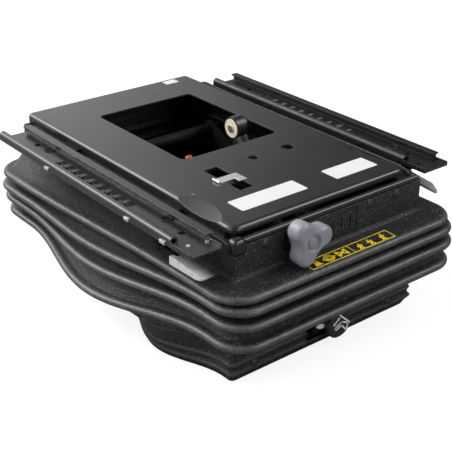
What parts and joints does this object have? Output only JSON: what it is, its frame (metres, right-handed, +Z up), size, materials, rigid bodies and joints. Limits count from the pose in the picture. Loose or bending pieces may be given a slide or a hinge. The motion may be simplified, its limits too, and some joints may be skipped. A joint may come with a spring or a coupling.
{
  "type": "tractor seat suspension",
  "caption": "Low suspension unit for a tractor seat: base pan, scissor, spring and damper inside a rubber bellows, top plate with slide rails and adjuster knobs.",
  "frame": {"origin": "centre of the base pan's four bolt holes, at its bottom face", "axes": "+X to the driver's right, +Y rearwards, +Z up"},
  "size_m": [0.415, 0.498, 0.1835],
  "materials": {
    "black_paint": "satin",
    "rail_steel": "satin",
    "zinc": "satin",
    "black_rubber": "fine leather grain, matte",
    "grey_plastic": "smooth, matte",
    "black_plastic": "smooth, satin",
    "cream_plastic": "smooth",
    "red_plastic": "glossy"
  },
  "bodies": {
    "base": {"base_pan": "black_paint", "left_lower_track": "black_paint", "right_lower_track": "black_paint", "lower_pivot_ears": "black_paint", "lower_pivot_rod": "zinc", "damper_base_bracket": "black_paint", "damper_base_pin": "zinc", "lower_knob_bracket": "zinc", "base_rivets": "black_paint", "bellows": "black_rubber"},
    "outer_scissor": {"outer_scissor_frame": "black_paint", "centre_pins": "zinc"},
    "inner_scissor": {"inner_scissor_frame": "black_paint"},
    "upper_frame": {"top_plate": "black_paint", "slot_clip": "zinc", "front_rim": "black_paint", "frame_front_member": "black_paint", "frame_rear_member": "black_paint", "frame_left_member": "black_paint", "frame_right_member": "black_paint", "left_upper_track": "black_paint", "right_upper_track": "black_paint", "end_buffers": "black_rubber", "upper_pivot_rod": "zinc", "damper_top_bracket": "black_paint", "damper_top_pin": "zinc", "wall_rivets": "black_paint", "cap_bracket": "zinc", "red_cap": "red_plastic", "left_rail_brackets": "black_paint", "right_rail_brackets": "black_paint", "latch_ears": "black_paint", "left_fixed_rail": "rail_steel", "right_fixed_rail": "rail_steel", "spindle_bush": "zinc", "springs": "zinc"},
    "upper_wheelset": {"upper_axle": "zinc", "upper_rollers": "black_plastic"},
    "lower_wheelset": {"lower_axle": "zinc", "lower_rollers": "black_plastic"},
    "draw_rods": {"draw_rods": "zinc", "draw_rod_nuts": "zinc"},
    "spring_carrier": {"spring_crossbar": "black_paint"},
    "damper_lower": {"damper_tube": "black_paint", "damper_base_bush": "cream_plastic"},
    "damper_upper": {"damper_rod": "black_paint", "damper_sleeve": "black_paint", "damper_top_bush": "cream_plastic"},
    "left_rail": {"left_slider": "rail_steel", "left_seat_channel": "rail_steel", "left_rail_fasteners": "zinc"},
    "right_rail": {"right_slider": "rail_steel", "right_seat_channel": "rail_steel", "right_rail_fasteners": "zinc"},
    "left_latch": {"left_latch_lever": "black_paint", "left_latch_grip": "grey_plastic"},
    "right_latch": {"right_latch_lever": "black_paint"},
    "weight_knob": {"weight_knob": "grey_plastic", "spindle": "zinc"},
    "lower_knob": {"lower_knob": "black_plastic"}
  },
  "joints": [
    {"name": "scissor_lift", "type": "hinge", "parent": "base", "child": "outer_scissor", "pos_m": [0, 0.15, 0.0163], "axis": [1, 0, 0], "range_deg": [0, 10.9], "stiffness_Nm_per_rad": 400, "springref_deg": -17.19, "deforming": ["bellows"]},
    {"name": "scissor_cross", "type": "hinge", "parent": "outer_scissor", "child": "inner_scissor", "pos_m": [0, 0.02392, 0.07715], "axis": [1, 0, 0], "range_deg": [-22, 0]},
    {"name": "frame_level", "type": "hinge", "parent": "inner_scissor", "child": "upper_frame", "pos_m": [0, 0.15, 0.138], "axis": [1, 0, 0], "range_deg": [0, 11]},
    {"name": "upper_wheel_spin", "type": "hinge", "parent": "outer_scissor", "child": "upper_wheelset", "pos_m": [0, -0.10217, 0.138], "axis": [1, 0, 0], "continuous": true},
    {"name": "lower_wheel_spin", "type": "hinge", "parent": "inner_scissor", "child": "lower_wheelset", "pos_m": [0, -0.10217, 0.0163], "axis": [1, 0, 0], "continuous": true},
    {"name": "draw_rod_slide", "type": "slide", "parent": "upper_frame", "child": "draw_rods", "axis": [0, 1, 0], "range_m": [-0.0195, 0], "deforming": ["springs"]},
    {"name": "damper_base_pivot", "type": "hinge", "parent": "base", "child": "damper_lower", "pos_m": [0.073, -0.06, 0.02], "axis": [1, 0, 0], "range_deg": [-12, 0]},
    {"name": "damper_top_pivot", "type": "hinge", "parent": "upper_frame", "child": "damper_upper", "pos_m": [0.073, 0.071, 0.1685], "axis": [1, 0, 0], "range_deg": [-12, 0]},
    {"name": "left_slide", "type": "slide", "parent": "upper_frame", "child": "left_rail", "axis": [0, 1, 0], "range_m": [-0.075, 0.075]},
    {"name": "right_slide", "type": "slide", "parent": "upper_frame", "child": "right_rail", "axis": [0, 1, 0], "range_m": [-0.075, 0.075]},
    {"name": "left_latch_lift", "type": "hinge", "parent": "upper_frame", "child": "left_latch", "pos_m": [-0.168, -0.105, 0.147], "axis": [-1, 0, 0], "range_deg": [0, 5], "stiffness_Nm_per_rad": 2, "springref_deg": -11.46},
    {"name": "right_latch_lift", "type": "hinge", "parent": "upper_frame", "child": "right_latch", "pos_m": [0.173, -0.105, 0.147], "axis": [-1, 0, 0], "range_deg": [0, 5]},
    {"name": "weight_knob_turn", "type": "hinge", "parent": "upper_frame", "child": "weight_knob", "pos_m": [-0.056, -0.2, 0.158], "axis": [0, 1, 0], "range_deg": [-1800, 0]},
    {"name": "crossbar_slide", "type": "slide", "parent": "upper_frame", "child": "spring_carrier", "axis": [0, 1, 0], "range_m": [-0.0101, 0]},
    {"name": "lower_knob_turn", "type": "hinge", "parent": "base", "child": "lower_knob", "pos_m": [0.0075, -0.197, 0.0255], "axis": [0, 1, 0], "range_deg": [0, 90]}
  ],
  "couplings": [
    {"joint": "scissor_cross", "follows": "scissor_lift", "ratio": -2},
    {"joint": "frame_level", "follows": "scissor_lift", "ratio": 1},
    {"joint": "draw_rod_slide", "follows": "scissor_lift", "m_per_rad": -0.1009},
    {"joint": "damper_base_pivot", "follows": "scissor_lift", "ratio": -1.085},
    {"joint": "damper_top_pivot", "follows": "scissor_lift", "ratio": -1.085},
    {"joint": "right_slide", "follows": "left_slide", "ratio": 1},
    {"joint": "right_latch_lift", "follows": "left_latch_lift", "ratio": 1},
    {"joint": "crossbar_slide", "follows": "weight_knob_turn", "m_per_rad": 0.00031831}
  ]
}
